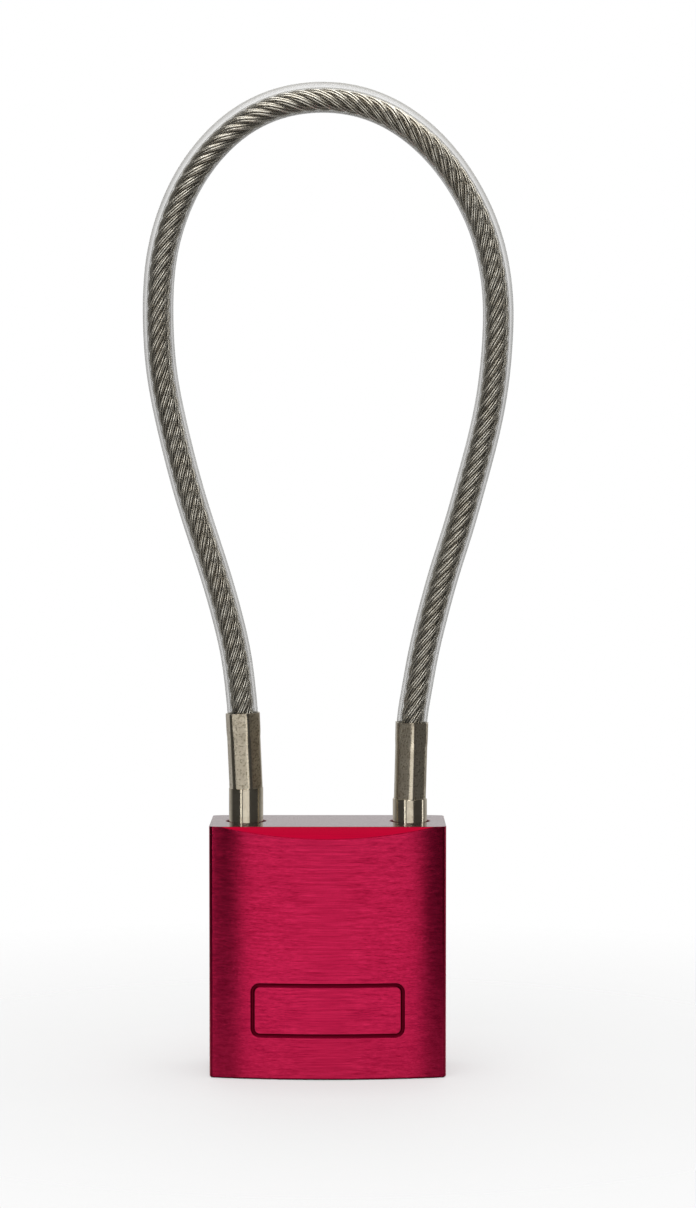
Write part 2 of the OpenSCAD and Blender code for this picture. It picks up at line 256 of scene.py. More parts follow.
class Graph:
    """A small builder for the nodes of one material, group or world."""

    RANGE = ("Value", "From Min", "From Max", "To Min", "To Max")

    def __init__(self, tree: Tree) -> None:
        """Starts on a tree, whatever it already holds."""
        self.tree = tree

    def node(self, kind: str, **settings: object) -> Node:
        """Adds a node.

        Args:
            kind: the node's type, such as ShaderNodeMath.
            **settings: properties by name, and values of inputs by their name in inputs.

        Returns:
            The node.
        """
        made = self.tree.nodes.new(kind)
        values = settings.pop("inputs", {})
        for key, value in settings.items():
            setattr(made, key, value)
        for key, value in values.items():
            self.feed(made.inputs[key], value)
        return made

    def feed(self, socket: Socket, value: object) -> None:
        """Links a socket to an output, or sets its plain value."""
        if isinstance(value, Socket):
            self.tree.links.new(value, socket)
        else:
            socket.default_value = value

    def math(self, operation: str, a: object, b: object, clamp: bool = False) -> Socket:
        """Adds a Math node and returns its value."""
        made = self.node("ShaderNodeMath", operation=operation, use_clamp=clamp)
        self.feed(made.inputs[0], a)
        self.feed(made.inputs[1], b)
        return made.outputs[0]

    def times(self, a: object, b: object) -> Socket:
        """Returns the product of two values."""
        return self.math("MULTIPLY", a, b)

    def spread(
        self, value: object, low: float, high: float, to_low: object, to_high: object
    ) -> Socket:
        """Maps a value from one range to another, held at its ends."""
        values = dict(zip(self.RANGE, (value, low, high, to_low, to_high)))
        return self.node("ShaderNodeMapRange", clamp=True, inputs=values).outputs["Result"]

    def blend(self, factor: object, a: object, b: object) -> Socket:
        """Mixes two colours."""
        made = self.node("ShaderNodeMix", data_type="RGBA")
        for socket, item in zip((made.inputs[0], made.inputs[6], made.inputs[7]), (factor, a, b)):
            self.feed(socket, item)
        return made.outputs[2]

    def noise(self, vector: object, scale: object, detail: float, rough: float = 0.5) -> Socket:
        """Adds a noise texture and returns its value."""
        values = {"Scale": scale, "Detail": detail, "Roughness": rough, "Vector": vector}
        return self.node("ShaderNodeTexNoise", inputs=values).outputs[0]

    def where(self) -> Socket:
        """Returns object coordinates in metres."""
        return self.node("ShaderNodeTexCoord").outputs["Object"]


def new_group(
    name: str, inputs: dict[str, float], outputs: Sequence[str]
) -> tuple[Tree, Graph, Node, Node]:
    """Makes an empty shader node group.

    Args:
        name: the group's name.
        inputs: each input's name and default.
        outputs: the outputs' names.

    Returns:
        The group, its builder, its input node and its output node.
    """
    tree = bpy.data.node_groups.new(name, "ShaderNodeTree")
    kind = "NodeSocketFloat"
    for key, value in inputs.items():
        made = tree.interface.new_socket(name=key, in_out="INPUT", socket_type=kind)
        made.default_value = value
    for key in outputs:
        tree.interface.new_socket(name=key, in_out="OUTPUT", socket_type=kind)
    graph = Graph(tree)
    return tree, graph, graph.node("NodeGroupInput"), graph.node("NodeGroupOutput")


class Effects:
    """The surface effects that more than one finish uses, each a node group built once."""

    def __init__(self) -> None:
        """Builds the groups."""
        self.brushing = self._brushing()
        self.pitting = self._pitting()
        self.handling = self._handling()

    def place(self, graph: Graph, tree: Tree, **values: float) -> Node:
        """Places one of the groups in a material with its own values."""
        return graph.node("ShaderNodeGroup", node_tree=tree, inputs=values)

    def dulling(self, graph: Graph, size: float) -> Socket:
        """Places the handling patches in a material and returns how dull each point is."""
        return self.place(graph, self.handling, Size=size).outputs["Dulling"]

    def _brushing(self) -> Tree:
        """Fine straight scratches along X, as an abrasive belt leaves them."""
        fine_share, broad_share, broad_scale = 0.65, 0.35, 0.28
        tree, graph, given, made = new_group(
            "belt_brushing", {"Fineness": 9000.0, "Length": 300.0}, ("Streaks", "Height")
        )
        where = graph.where()
        scale = graph.node("ShaderNodeCombineXYZ")
        for axis, key in zip("XYZ", ("Length", "Fineness", "Fineness")):
            graph.feed(scale.inputs[axis], given.outputs[key])
        stretched = graph.node(
            "ShaderNodeVectorMath", operation="MULTIPLY", inputs={0: where, 1: scale.outputs[0]}
        ).outputs[0]
        slack = graph.node(
            "ShaderNodeVectorMath", operation="SCALE", inputs={0: stretched, "Scale": broad_scale}
        )
        fine = graph.noise(stretched, 1.0, 4.0, 0.7)
        broad = graph.noise(slack.outputs[0], 1.0, 2.0)
        both = graph.math("ADD", graph.times(fine, fine_share), graph.times(broad, broad_share))
        graph.feed(made.inputs["Streaks"], graph.spread(both, 0.32, 0.68, 0.0, 1.0))
        graph.feed(made.inputs["Height"], both)
        return tree

    def _pitting(self) -> Tree:
        """Small pits and grains of a pressed or plated surface."""
        coarser, hole_share, hole_depth = 0.6, 0.7, 0.5
        tree, graph, given, made = new_group("pitting", {"Density": 9000.0}, ("Pits", "Height"))
        where, density = graph.where(), given.outputs["Density"]
        cells = graph.node(
            "ShaderNodeTexVoronoi", feature="F1", inputs={"Vector": where, "Scale": density}
        )
        grain = graph.noise(where, graph.times(density, coarser), 2.0)
        holes = graph.spread(cells.outputs["Distance"], 0.05, 0.45, 1.0, 0.0)
        stains = graph.spread(grain, 0.5, 0.62, 0.0, 1.0)
        pits = graph.math("MAXIMUM", graph.times(holes, hole_share), stains)
        height = graph.math("SUBTRACT", grain, graph.times(pits, hole_depth))
        graph.feed(made.inputs["Pits"], pits)
        graph.feed(made.inputs["Height"], height)
        return tree

    def _handling(self) -> Tree:
        """Broad soft patches where fingers and pockets have dulled a surface."""
        tree, graph, given, made = new_group("handling", {"Size": 220.0}, ("Dulling",))
        cloud = graph.noise(graph.where(), given.outputs["Size"], 4.0, 0.6)
        graph.feed(made.inputs["Dulling"], graph.spread(cloud, 0.42, 0.66, 0.0, 1.0))
        return tree


def new_material(name: str) -> tuple[Finish, Graph, Node]:
    """Makes a material with one Principled shader.

    Args:
        name: the material's name.

    Returns:
        The material, its builder and its shader node.
    """
    material = bpy.data.materials.new(name)
    material.use_nodes = True
    shader = material.node_tree.nodes["Principled BSDF"]
    return material, Graph(material.node_tree), shader


def dress(
    graph: Graph, shader: Node, colour: object, rough: object, metallic: float = 1.0
) -> None:
    """Sets a shader's colour, roughness and metal."""
    graph.feed(shader.inputs["Base Color"], colour)
    graph.feed(shader.inputs["Roughness"], rough)
    shader.inputs["Metallic"].default_value = metallic


def bump(graph: Graph, shader: Node, height: Socket, depth: float) -> None:
    """Feeds a height in millimetres of depth to a shader's normal."""
    values = {"Strength": 1.0, "Distance": depth * MM, "Height": height}
    graph.feed(shader.inputs["Normal"], graph.node("ShaderNodeBump", inputs=values).outputs[0])


# ---------------------------------------------------------------- finishes


@dataclass(frozen=True)
class Anodised:
    """Brushed and dyed aluminium."""

    name: str
    deep: Colour
    bright: Colour
    rough: float
    streak: float
    across: float = 0.85
    coat: float = 0.0
    fineness: float = 13000.0
    length: float = 180.0
    depth: float = 0.0012
    patch_size: float = 150.0
    patch_rough: float = 0.02
    streak_rough: float = 0.04
    coat_rough: float = 0.12
    quarter_turn: float = 0.25

    def build(self, effects: Effects) -> Finish:
        """Builds the material from the shared effects."""
        material, graph, shader = new_material(self.name)
        brushing = effects.place(
            graph, effects.brushing, Fineness=self.fineness, Length=self.length
        )
        streaks = brushing.outputs["Streaks"]
        tone = graph.blend(graph.times(streaks, self.streak), self.deep, self.bright)
        patches = effects.dulling(graph, self.patch_size)
        dulled = graph.spread(patches, 0.0, 1.0, self.rough, self.rough + self.patch_rough)
        rough = graph.math("ADD", dulled, graph.times(streaks, self.streak_rough))
        dress(graph, shader, tone, rough)
        shader.inputs["Anisotropic"].default_value = self.across
        shader.inputs["Anisotropic Rotation"].default_value = self.quarter_turn
        shader.inputs["Coat Weight"].default_value = self.coat
        shader.inputs["Coat Roughness"].default_value = self.coat_rough
        bump(graph, shader, brushing.outputs["Height"], self.depth)
        return material


@dataclass(frozen=True)
class Plated:
    """Nickel plate over a pressed terminal: smooth ridges and grainy flats."""

    name: str
    colour: Colour
    dark: Colour
    rough: float
    density: float = 6200.0
    ridge_grain: float = 0.15
    flat_grain: float = 0.75
    patch_size: float = 600.0
    patch_share: float = 0.35
    flat_rough: float = 0.16
    tarnish_rough: float = 0.12
    depth: float = 0.016

    def build(self, effects: Effects) -> Finish:
        """Builds the material; the mesh's crimp attribute marks its pressed flats."""
        material, graph, shader = new_material(self.name)
        pressed = graph.node("ShaderNodeAttribute", attribute_name="crimp").outputs["Fac"]
        pitting = effects.place(graph, effects.pitting, Density=self.density)
        show = graph.spread(pressed, 0.0, 1.0, self.ridge_grain, self.flat_grain)
        grainy = graph.times(pitting.outputs["Pits"], show)
        patches = graph.times(effects.dulling(graph, self.patch_size), self.patch_share)
        tarnish = graph.math("MAXIMUM", grainy, patches)
        base = graph.spread(pressed, 0.0, 1.0, self.rough, self.rough + self.flat_rough)
        rough = graph.math("ADD", base, graph.times(tarnish, self.tarnish_rough))
        dress(graph, shader, graph.blend(tarnish, self.colour, self.dark), rough)
        raised = graph.spread(pressed, 0.0, 1.0, self.ridge_grain, 1.0)
        bump(graph, shader, graph.times(pitting.outputs["Height"], raised), self.depth)
        return material


@dataclass(frozen=True)
class Drawn:
    """Bright drawn or turned metal, from brass to steel; the rope's core uses it too, coloured dark
    as painted shade.
    """

    name: str
    colour: Colour
    dark: Colour
    rough: float
    density: float = 5000.0
    depth: float = 0.004
    patch_size: float = 450.0
    patch_share: float = 0.55
    pit_rough: float = 0.12

    def build(self, effects: Effects) -> Finish:
        """Builds the material from the shared effects."""
        material, graph, shader = new_material(self.name)
        pitting = effects.place(graph, effects.pitting, Density=self.density)
        stain = graph.times(effects.dulling(graph, self.patch_size), self.patch_share)
        pits = pitting.outputs["Pits"]
        rough = graph.spread(pits, 0.0, 1.0, self.rough, self.rough + self.pit_rough)
        dress(graph, shader, graph.blend(stain, self.colour, self.dark), rough)
        bump(graph, shader, pitting.outputs["Height"], self.depth)
        return material


@dataclass(frozen=True)
class RopeWire:
    """Drawn steel wire, bright where it stands proud, with painted shade darkening the grooves
    between wires and strands.
    """

    name: str
    bright: Colour
    dark: Colour
    groove_shade: Colour
    rough: float
    groove_rough: float = 0.5
    patch_size: float = 500.0
    patch_share: float = 0.6

    def build(self, effects: Effects) -> Finish:
        """Builds the material; the mesh's proud attribute tells the crests from the grooves, which
        get painted shade.
        """
        material, graph, shader = new_material(self.name)
        proud = graph.node("ShaderNodeAttribute", attribute_name="proud").outputs["Fac"]
        worn = graph.times(effects.dulling(graph, self.patch_size), self.patch_share)
        metal = graph.blend(worn, self.bright, self.dark)
        rough = graph.spread(proud, 0.0, 1.0, self.groove_rough, self.rough)
        # painted shade: where proud is low, the grooves take the dark groove colour in place of the
        # metal
        dress(graph, shader, graph.blend(proud, self.groove_shade, metal), rough)
        return material


@dataclass(frozen=True)
class ClearPlastic:
    """A soft clear jacket: nearly unseen face on, milky where it is seen edge on."""

    name: str
    colour: Colour
    face_alpha: float
    edge_alpha: float
    rough: float
    edge_from: float = 0.15
    patch_size: float = 300.0
    haze: float = 0.04
    index: float = 1.5

    def build(self, effects: Effects) -> Finish:
        """Builds the material from the shared effects."""
        material, graph, shader = new_material(self.name)
        facing = graph.node("ShaderNodeLayerWeight", inputs={"Blend": 0.5}).outputs["Facing"]
        edge = graph.spread(facing, self.edge_from, 1.0, self.face_alpha, self.edge_alpha)
        haze = graph.times(effects.dulling(graph, self.patch_size), self.haze)
        graph.feed(shader.inputs["Alpha"], graph.math("ADD", edge, haze, clamp=True))
        dress(graph, shader, self.colour, graph.math("ADD", haze, self.rough), metallic=0.0)
        shader.inputs["IOR"].default_value = self.index
        return material


def make_finishes(effects: Effects) -> dict[str, Finish]:
    """Builds every finish on the lock.

    Args:
        effects: the shared node groups.

    Returns:
        The finishes by name.
    """
    plans = (
        Plated("nickel_plate", (0.72, 0.645, 0.51, 1), (0.3, 0.24, 0.15, 1), rough=0.12),
        RopeWire(
            "rope_wire", bright=(0.97, 0.93, 0.82, 1), dark=(0.68, 0.61, 0.48, 1),
            # the dark third colour is painted shade in the rope's grooves
            groove_shade=(0.3, 0.26, 0.2, 1), rough=0.1,
        ),
        # the core's near-black colour is painted shade where it shows between the strands
        Drawn("rope_core", (0.16, 0.14, 0.11, 1), (0.06, 0.05, 0.04, 1), rough=0.5),
        ClearPlastic("clear_jacket", (0.42, 0.405, 0.36, 1), 0.03, 0.72, rough=0.08),
        Anodised(
            "anodised_face", (0.27, 0.003, 0.028, 1), (0.68, 0.022, 0.095, 1),
            rough=0.2, streak=1.0,
        ),
        Anodised(
            "anodised_top", (0.17, 0.003, 0.016, 1), (0.25, 0.006, 0.026, 1),
            rough=0.18, streak=0.5, across=0.0, coat=1.0,
        ),
        # groove and bores: rougher, and darker red as painted shade in these recesses
        Anodised(
            "anodised_cut", (0.11, 0.001, 0.01, 1), (0.18, 0.002, 0.02, 1),
            rough=0.38, streak=0.5, across=0.0,
        ),
        Anodised(
            "anodised_chamfer", (0.15, 0.0006, 0.009, 1), (0.24, 0.001, 0.015, 1),
            rough=0.16, streak=0.6, across=0.0,
        ),
        Drawn("turned_brass", (0.72, 0.53, 0.24, 1), (0.45, 0.32, 0.14, 1), rough=0.28),
        Drawn("turned_steel", (0.55, 0.55, 0.55, 1), (0.3, 0.3, 0.3, 1), rough=0.25),
        Drawn("black_steel", (0.12, 0.12, 0.12, 1), (0.05, 0.05, 0.05, 1), rough=0.4),
    )  # fmt: skip
    return {plan.name: plan.build(effects) for plan in plans}


# ---------------------------------------------------------------- studio


@dataclass(frozen=True)
class Panel:
    """A soft rectangular lamp that faces the lock, with its brightness."""

    name: str
    place: Point
    width: float
    height: float
    brightness: float

    def hang(self, aim: Point) -> None:
        """Hangs the lamp in the scene, turned to face a point."""
        data = bpy.data.lights.new(self.name, "AREA")
        data.shape = "RECTANGLE"
        data.size, data.size_y = self.width * MM, self.height * MM
        data.energy = self.brightness * math.pi * data.size * data.size_y
        lamp = linked(self.name, data)
        lamp.location = [c * MM for c in self.place]
        x, y, z = np.array(aim) - np.array(self.place)
        lamp.rotation_euler = (math.atan2(math.hypot(x, y), -z), 0.0, math.atan2(-x, y))


@dataclass
class Studio:
    """The camera, the lamps and the pale floor."""

    camera_x: float = 2.57
    camera_back: float = 400.0
    camera_z: float = 78.0
    aim_z: float = 59.84
    lens: float = 93.3
    sensor: float = 36.0
    floor_r: float = 900.0
    floor_z: float = -0.02
    lamp_aim: Point = (0, 0, 40)

    PANELS = (
        Panel("front", (4, -576, -40), 486, 440, 0.84),
        Panel("low", (4, -560, -210), 486, 300, 0.42),
        Panel("above", (0, -40, 480), 460, 420, 2.8),
        Panel("behind", (0, 420, 230), 460, 220, 0.8),
        Panel("strip", (-335, -510, 90), 50, 420, 2.6),
        Panel("edge", (-60, -400, 335), 300, 170, 2.6),
        Panel("rim", (420, 40, 120), 60, 380, 1.6),
    )

    def build(self) -> None:
        """Makes the camera first, then the floor, the lamps and the sky."""
        self._camera()
        self._floor()
        for panel in self.PANELS:
            panel.hang(self.lamp_aim)
        self._world()
        bpy.context.scene.view_settings.view_transform = "Standard"

    def _camera(self) -> None:
        """Stands the camera in front of the lock, a little above the middle of its loop."""
        data = bpy.data.cameras.new("camera")
        data.lens = self.lens
        data.sensor_width = self.sensor
        data.clip_start = 0.01
        camera = linked("camera", data)
        camera.location = (self.camera_x * MM, -self.camera_back * MM, self.camera_z * MM)
        drop = math.atan2(self.camera_z - self.aim_z, self.camera_back)
        camera.rotation_euler = (math.pi / 2 - drop, 0.0, 0.0)
        bpy.context.scene.camera = camera

    def _floor(self) -> None:
        """Lays a pale disc that fades out into the pale sky and is clear from below."""
        rings, sides = 12, 64
        rows = [
            level(ring_at(0, 0, r, full_turn(sides)), self.floor_z)
            for r in np.linspace(1.0, self.floor_r, rings)
        ]
        faces = [f[::-1] for f in ring_faces(rings, sides)] + [list(range(sides))]
        floor = mesh_object("studio_floor", np.concatenate(rows), faces)
        material, graph, shader = new_material("studio_floor")
        away = graph.node("ShaderNodeVectorMath", operation="LENGTH", inputs={0: graph.where()})
        fade = graph.spread(away.outputs["Value"], 0.02, 0.13, 0.5, 0.0)
        grain = graph.times(graph.noise(graph.where(), 900.0, 3.0), 0.06)
        tone = graph.blend(grain, (0.9, 0.9, 0.9, 1), (0.8, 0.8, 0.8, 1))
        dress(graph, shader, tone, 0.7, metallic=0.0)
        below = graph.node("ShaderNodeNewGeometry").outputs["Backfacing"]
        above = graph.math("SUBTRACT", 1.0, below)
        graph.feed(shader.inputs["Alpha"], graph.times(fade, above))
        floor.data.materials.append(material)

    def _world(self) -> None:
        """Lights the lock from a pale sky that is darker before and beside it."""
        world = bpy.data.worlds.new("studio_sky")
        bpy.context.scene.world = world
        world.use_nodes = True
        graph = Graph(world.node_tree)
        sky = world.node_tree.nodes["Background"]
        seen = graph.node("ShaderNodeLightPath").outputs["Is Camera Ray"]
        ray = graph.node("ShaderNodeTexCoord").outputs["Generated"]
        way = graph.node("ShaderNodeSeparateXYZ", inputs={0: ray})
        ahead = graph.spread(way.outputs["Y"], 0.15, 0.75, 0.06, 0.5)
        graph.feed(sky.inputs["Strength"], graph.spread(seen, 0.0, 1.0, ahead, 1.0))
        sky.inputs["Color"].default_value = (1.0, 1.0, 1.0, 1.0)


# ---------------------------------------------------------------- cable


@dataclass(frozen=True)
class Leg:
    """Where one leg of the shackle stands, with its heights above the body."""

    side: Side
    shoulder: float
    mouth: float
    lean: float
    x: float = 10.5

    def at(self, above: float) -> tuple[float, float]:
        """Returns X on the leg's axis at a height above the body, and that height."""
        shift = (above - self.shoulder) * math.tan(math.radians(self.lean))
        return self.side.value * (self.x + shift), above


def distances(points: np.ndarray) -> np.ndarray:
    """Returns how far along a line each of its points lies."""
    return np.concatenate([[0.0], np.cumsum(np.linalg.norm(np.diff(points, axis=0), axis=1))])


@dataclass
class Cable:
    """The wire rope and its clear jacket, from the heel mouth round to the toe mouth."""

    body_h: float
    heel: Leg
    toe: Leg
    rope_seat: float = 7.9
    jacket_seat: float = 1.9
    jacket_r: float = 1.95
    bore_r: float = 1.56
    strand_r: float = 0.44
    strand_circle: float = 1.0
    core_r: float = 0.58
    strands: int = 6
    wires: int = 6
    strand_lay: float = 11.2
    wire_lay: float = 12.0
    wire_r: float = 0.135
    pull: float = 0.3
    step: float = 0.42
    relax_rounds: int = 30
    relax_over: float = 12.0
    blur_reach: int = 20
    pull_over: float = 15.0
    straight: float = 0.012
    bend_range: float = 0.035
    strand_groove: float = 0.5
    strand_rise: float = 0.42
    wire_groove: float = 0.14
    wire_rise: float = 0.13
    jacket_sides: int = 40
    core_sides: int = 12
    wire_sides: int = 6

    # x, and height above the body, between the two mouths
    ROUTE = (
        (-11.2, 17), (-11.7, 21), (-12.8, 26), (-14.2, 31), (-15.8, 36), (-17.4, 41),
        (-18.9, 46.5), (-20.2, 52), (-21.2, 57.5), (-21.6, 63), (-21.6, 67.5), (-21.1, 72.5),
        (-19.9, 77), (-17.9, 81.5), (-15.2, 85.4), (-11.9, 88.6), (-8.2, 90.8), (-4.2, 92),
        (0, 92.3), (4.2, 91.7), (8.2, 90.1), (11.8, 87.6), (15.1, 84.2), (17.8, 80.2),
        (19.8, 76), (21.1, 71.4), (21.7, 66.5), (21.6, 61), (21, 55), (19.8, 49), (18.2, 43),
        (16.5, 37), (14.9, 32), (13.4, 26.5), (12.2, 21.5), (11.4, 17),
    )  # fmt: skip

    def route(self, seat: float) -> np.ndarray:
        """Returns the whole route, with its ends the given depth inside the two sockets."""
        heel, toe = self.heel, self.toe
        first = [heel.at(heel.mouth - seat), heel.at(heel.mouth)]
        last = [toe.at(toe.mouth), toe.at(toe.mouth - seat)]
        points = np.array([*first, *self.ROUTE, *last], float)
        return np.stack([points[:, 0], np.zeros(len(points)), points[:, 1] + self.body_h], 1)

    def smooth(self, route: np.ndarray) -> tuple[np.ndarray, np.ndarray]:
        """Draws one smooth curve through a route.

        Args:
            route: the points to pass through.

        Returns:
            Evenly spaced points on the curve, and their distances along it.
        """
        knots = distances(route)
        count = int(knots[-1] / self.step)
        at = np.linspace(0.0, knots[-1], count)
        curve = np.stack([natural_spline(knots, route[:, k], at) for k in range(3)], 1)
        relaxed = curve.copy()
        for _ in range(self.relax_rounds):
            relaxed[1:-1] = 0.5 * relaxed[1:-1] + 0.25 * (relaxed[:-2] + relaxed[2:])
        ease = np.clip(np.minimum(at, at[-1] - at) / self.relax_over, 0.0, 1.0)[:, None]
        curve = curve * (1 - ease) + relaxed * ease
        return curve, distances(curve)

    def frames(self, curve: np.ndarray) -> tuple[np.ndarray, np.ndarray, np.ndarray]:
        """Returns the heading, the way into the loop and the way sideways at each point."""
        heading = np.gradient(curve, axis=0)
        heading /= np.linalg.norm(heading, axis=1)[:, None]
        side = np.tile([0.0, 1.0, 0.0], (len(curve), 1))
        inward = np.cross(side, heading)
        return heading, inward, side

    def rope_line(self, curve: np.ndarray, far: np.ndarray) -> np.ndarray:
        """Moves the curve towards the inside of the bend, as the rope lies in its jacket."""
        heading, inward, _ = self.frames(curve)
        turn = np.linalg.norm(np.gradient(heading, axis=0), axis=1) / self.step
        width = 2 * self.blur_reach + 1
        padded = np.pad(turn, self.blur_reach, mode="edge")
        turn = np.convolve(padded, np.ones(width) / width, mode="valid")
        past_socket = np.minimum(far, far[-1] - far) - self.rope_seat
        ease = np.clip(past_socket / self.pull_over, 0.0, 1.0)
        share = np.clip((turn - self.straight) / self.bend_range, 0.0, 1.0) * ease
        return curve + inward * (self.pull * share)[:, None]

    def jacket(self, finish: Finish) -> tuple[Piece, np.ndarray, float]:
        """Makes the clear jacket, a hollow tube whose bore follows the rope.

        Args:
            finish: the clear plastic.

        Returns:
            The jacket, the line it follows, and that line's length.
        """
        sides = self.jacket_sides
        curve, far = self.smooth(self.route(self.jacket_seat))
        bore = self.rope_line(curve, far + self.rope_seat - self.jacket_seat)
        _, across, up = self.frames(curve)
        outer = swept(curve, across, up, self.jacket_r, sides)
        inner = swept(bore, across, up, self.bore_r, sides)
        lined = len(outer)
        skin = ring_faces(len(curve), sides)
        lining = [[v + lined for v in face[::-1]] for face in skin]
        ends = []
        for first, flip in ((0, True), (lined - sides, False)):
            for k in range(sides):
                here, there = first + k, first + (k + 1) % sides
                face = [here, there, there + lined, here + lined]
                ends.append(face[::-1] if flip else face)
        points = np.concatenate([outer, inner])
        piece = mesh_object("clear_jacket", points, skin + lining + ends)
        piece.data.materials.append(finish)
        return piece, curve, float(far[-1])

    def rope(self, finish: Finish, core: Finish) -> list[Piece]:
        """Makes the rope: a core and strands of wires laid the opposite way to the strands.

        Args:
            finish: the metal of the wires.
            core: the core's finish, so dark that it is painted shade where the core shows between
                the strands.

        Returns:
            One piece for the core and one for each strand.
        """
        base, far = self.smooth(self.route(self.rope_seat))
        line = self.rope_line(base, far)
        heading, inward, side = self.frames(line)
        heart = mesh_object(
            "rope_core",
            swept(line, inward, side, self.core_r, self.core_sides),
            capped_faces(len(line), self.core_sides),
        )
        heart.data.materials.append(core)
        pieces = [heart]
        orbit = self.strand_r - self.wire_r
        lean = math.atan2(2 * math.pi * self.strand_circle, self.strand_lay)
        wire_faces = capped_faces(len(line), self.wire_sides)
        for s in range(self.strands):
            turn = 2 * math.pi * (far / self.strand_lay + s / self.strands)
            out = np.cos(turn)[:, None] * inward + np.sin(turn)[:, None] * side
            round_ = -np.sin(turn)[:, None] * inward + np.cos(turn)[:, None] * side
            across = math.cos(lean) * round_ - math.sin(lean) * heading
            middle = line + self.strand_circle * out
            rows = [swept(middle, out, across, self.wire_r, self.wire_sides)]
            proud = [np.zeros(len(rows[0]))]
            for w in range(self.wires):
                twist = 2 * math.pi * (w / self.wires - far / self.wire_lay)
                way = np.cos(twist)[:, None] * out + np.sin(twist)[:, None] * across
                wire = middle + orbit * way
                rows.append(swept(wire, out, across, self.wire_r, self.wire_sides))
                proud.append(self.proud(rows[-1], line, middle))
            starts = range(0, sum(map(len, rows)), len(rows[0]))
            faces = [[v + start for v in face] for start in starts for face in wire_faces]
            strand = mesh_object(f"rope_strand_{s + 1}", np.concatenate(rows), faces)
            mark_points(strand, "proud", proud)
            strand.data.materials.append(finish)
            pieces.append(strand)
        return pieces

    def proud(self, skin: np.ndarray, line: np.ndarray, middle: np.ndarray) -> np.ndarray:
        """Returns how far each point stands out of the grooves, from 0 to 1, the mask of the wire's
        painted shade.

        Args:
            skin: the points of one wire, ring by ring.
            line: the middle of the rope at each ring.
            middle: the middle of the wire's strand at each ring.

        Returns:
            One value per point.
        """
        sides = len(skin) // len(line)
        in_rope = np.linalg.norm(skin - np.repeat(line, sides, axis=0), axis=1)
        in_strand = np.linalg.norm(skin - np.repeat(middle, sides, axis=0), axis=1)
        reach = self.strand_circle + self.strand_r
        between_strands = (in_rope - reach + self.strand_groove) / self.strand_rise
        between_wires = (in_strand - self.strand_r + self.wire_groove) / self.wire_rise
        return np.clip(np.minimum(between_strands, between_wires), 0.0, 1.0)


def natural_spline(knots: np.ndarray, values: np.ndarray, at: np.ndarray) -> np.ndarray:
    """Evaluates the natural cubic spline through values at knots."""
    gap = np.diff(knots)
    slope = np.diff(values) / gap
    count = len(knots)
    matrix, right = np.eye(count), np.zeros(count)
    for i in range(1, count - 1):
        matrix[i, i - 1 : i + 2] = gap[i - 1], 2 * (gap[i - 1] + gap[i]), gap[i]
        right[i] = 6 * (slope[i] - slope[i - 1])
    bend = np.linalg.solve(matrix, right)
    i = np.clip(np.searchsorted(knots, at) - 1, 0, count - 2)
    a, b = knots[i + 1] - at, at - knots[i]
    return (
        bend[i] * a**3 / (6 * gap[i])
        + bend[i + 1] * b**3 / (6 * gap[i])
        + (values[i] / gap[i] - bend[i] * gap[i] / 6) * a
        + (values[i + 1] / gap[i] - bend[i + 1] * gap[i] / 6) * b
    )


# ---------------------------------------------------------------- terminals


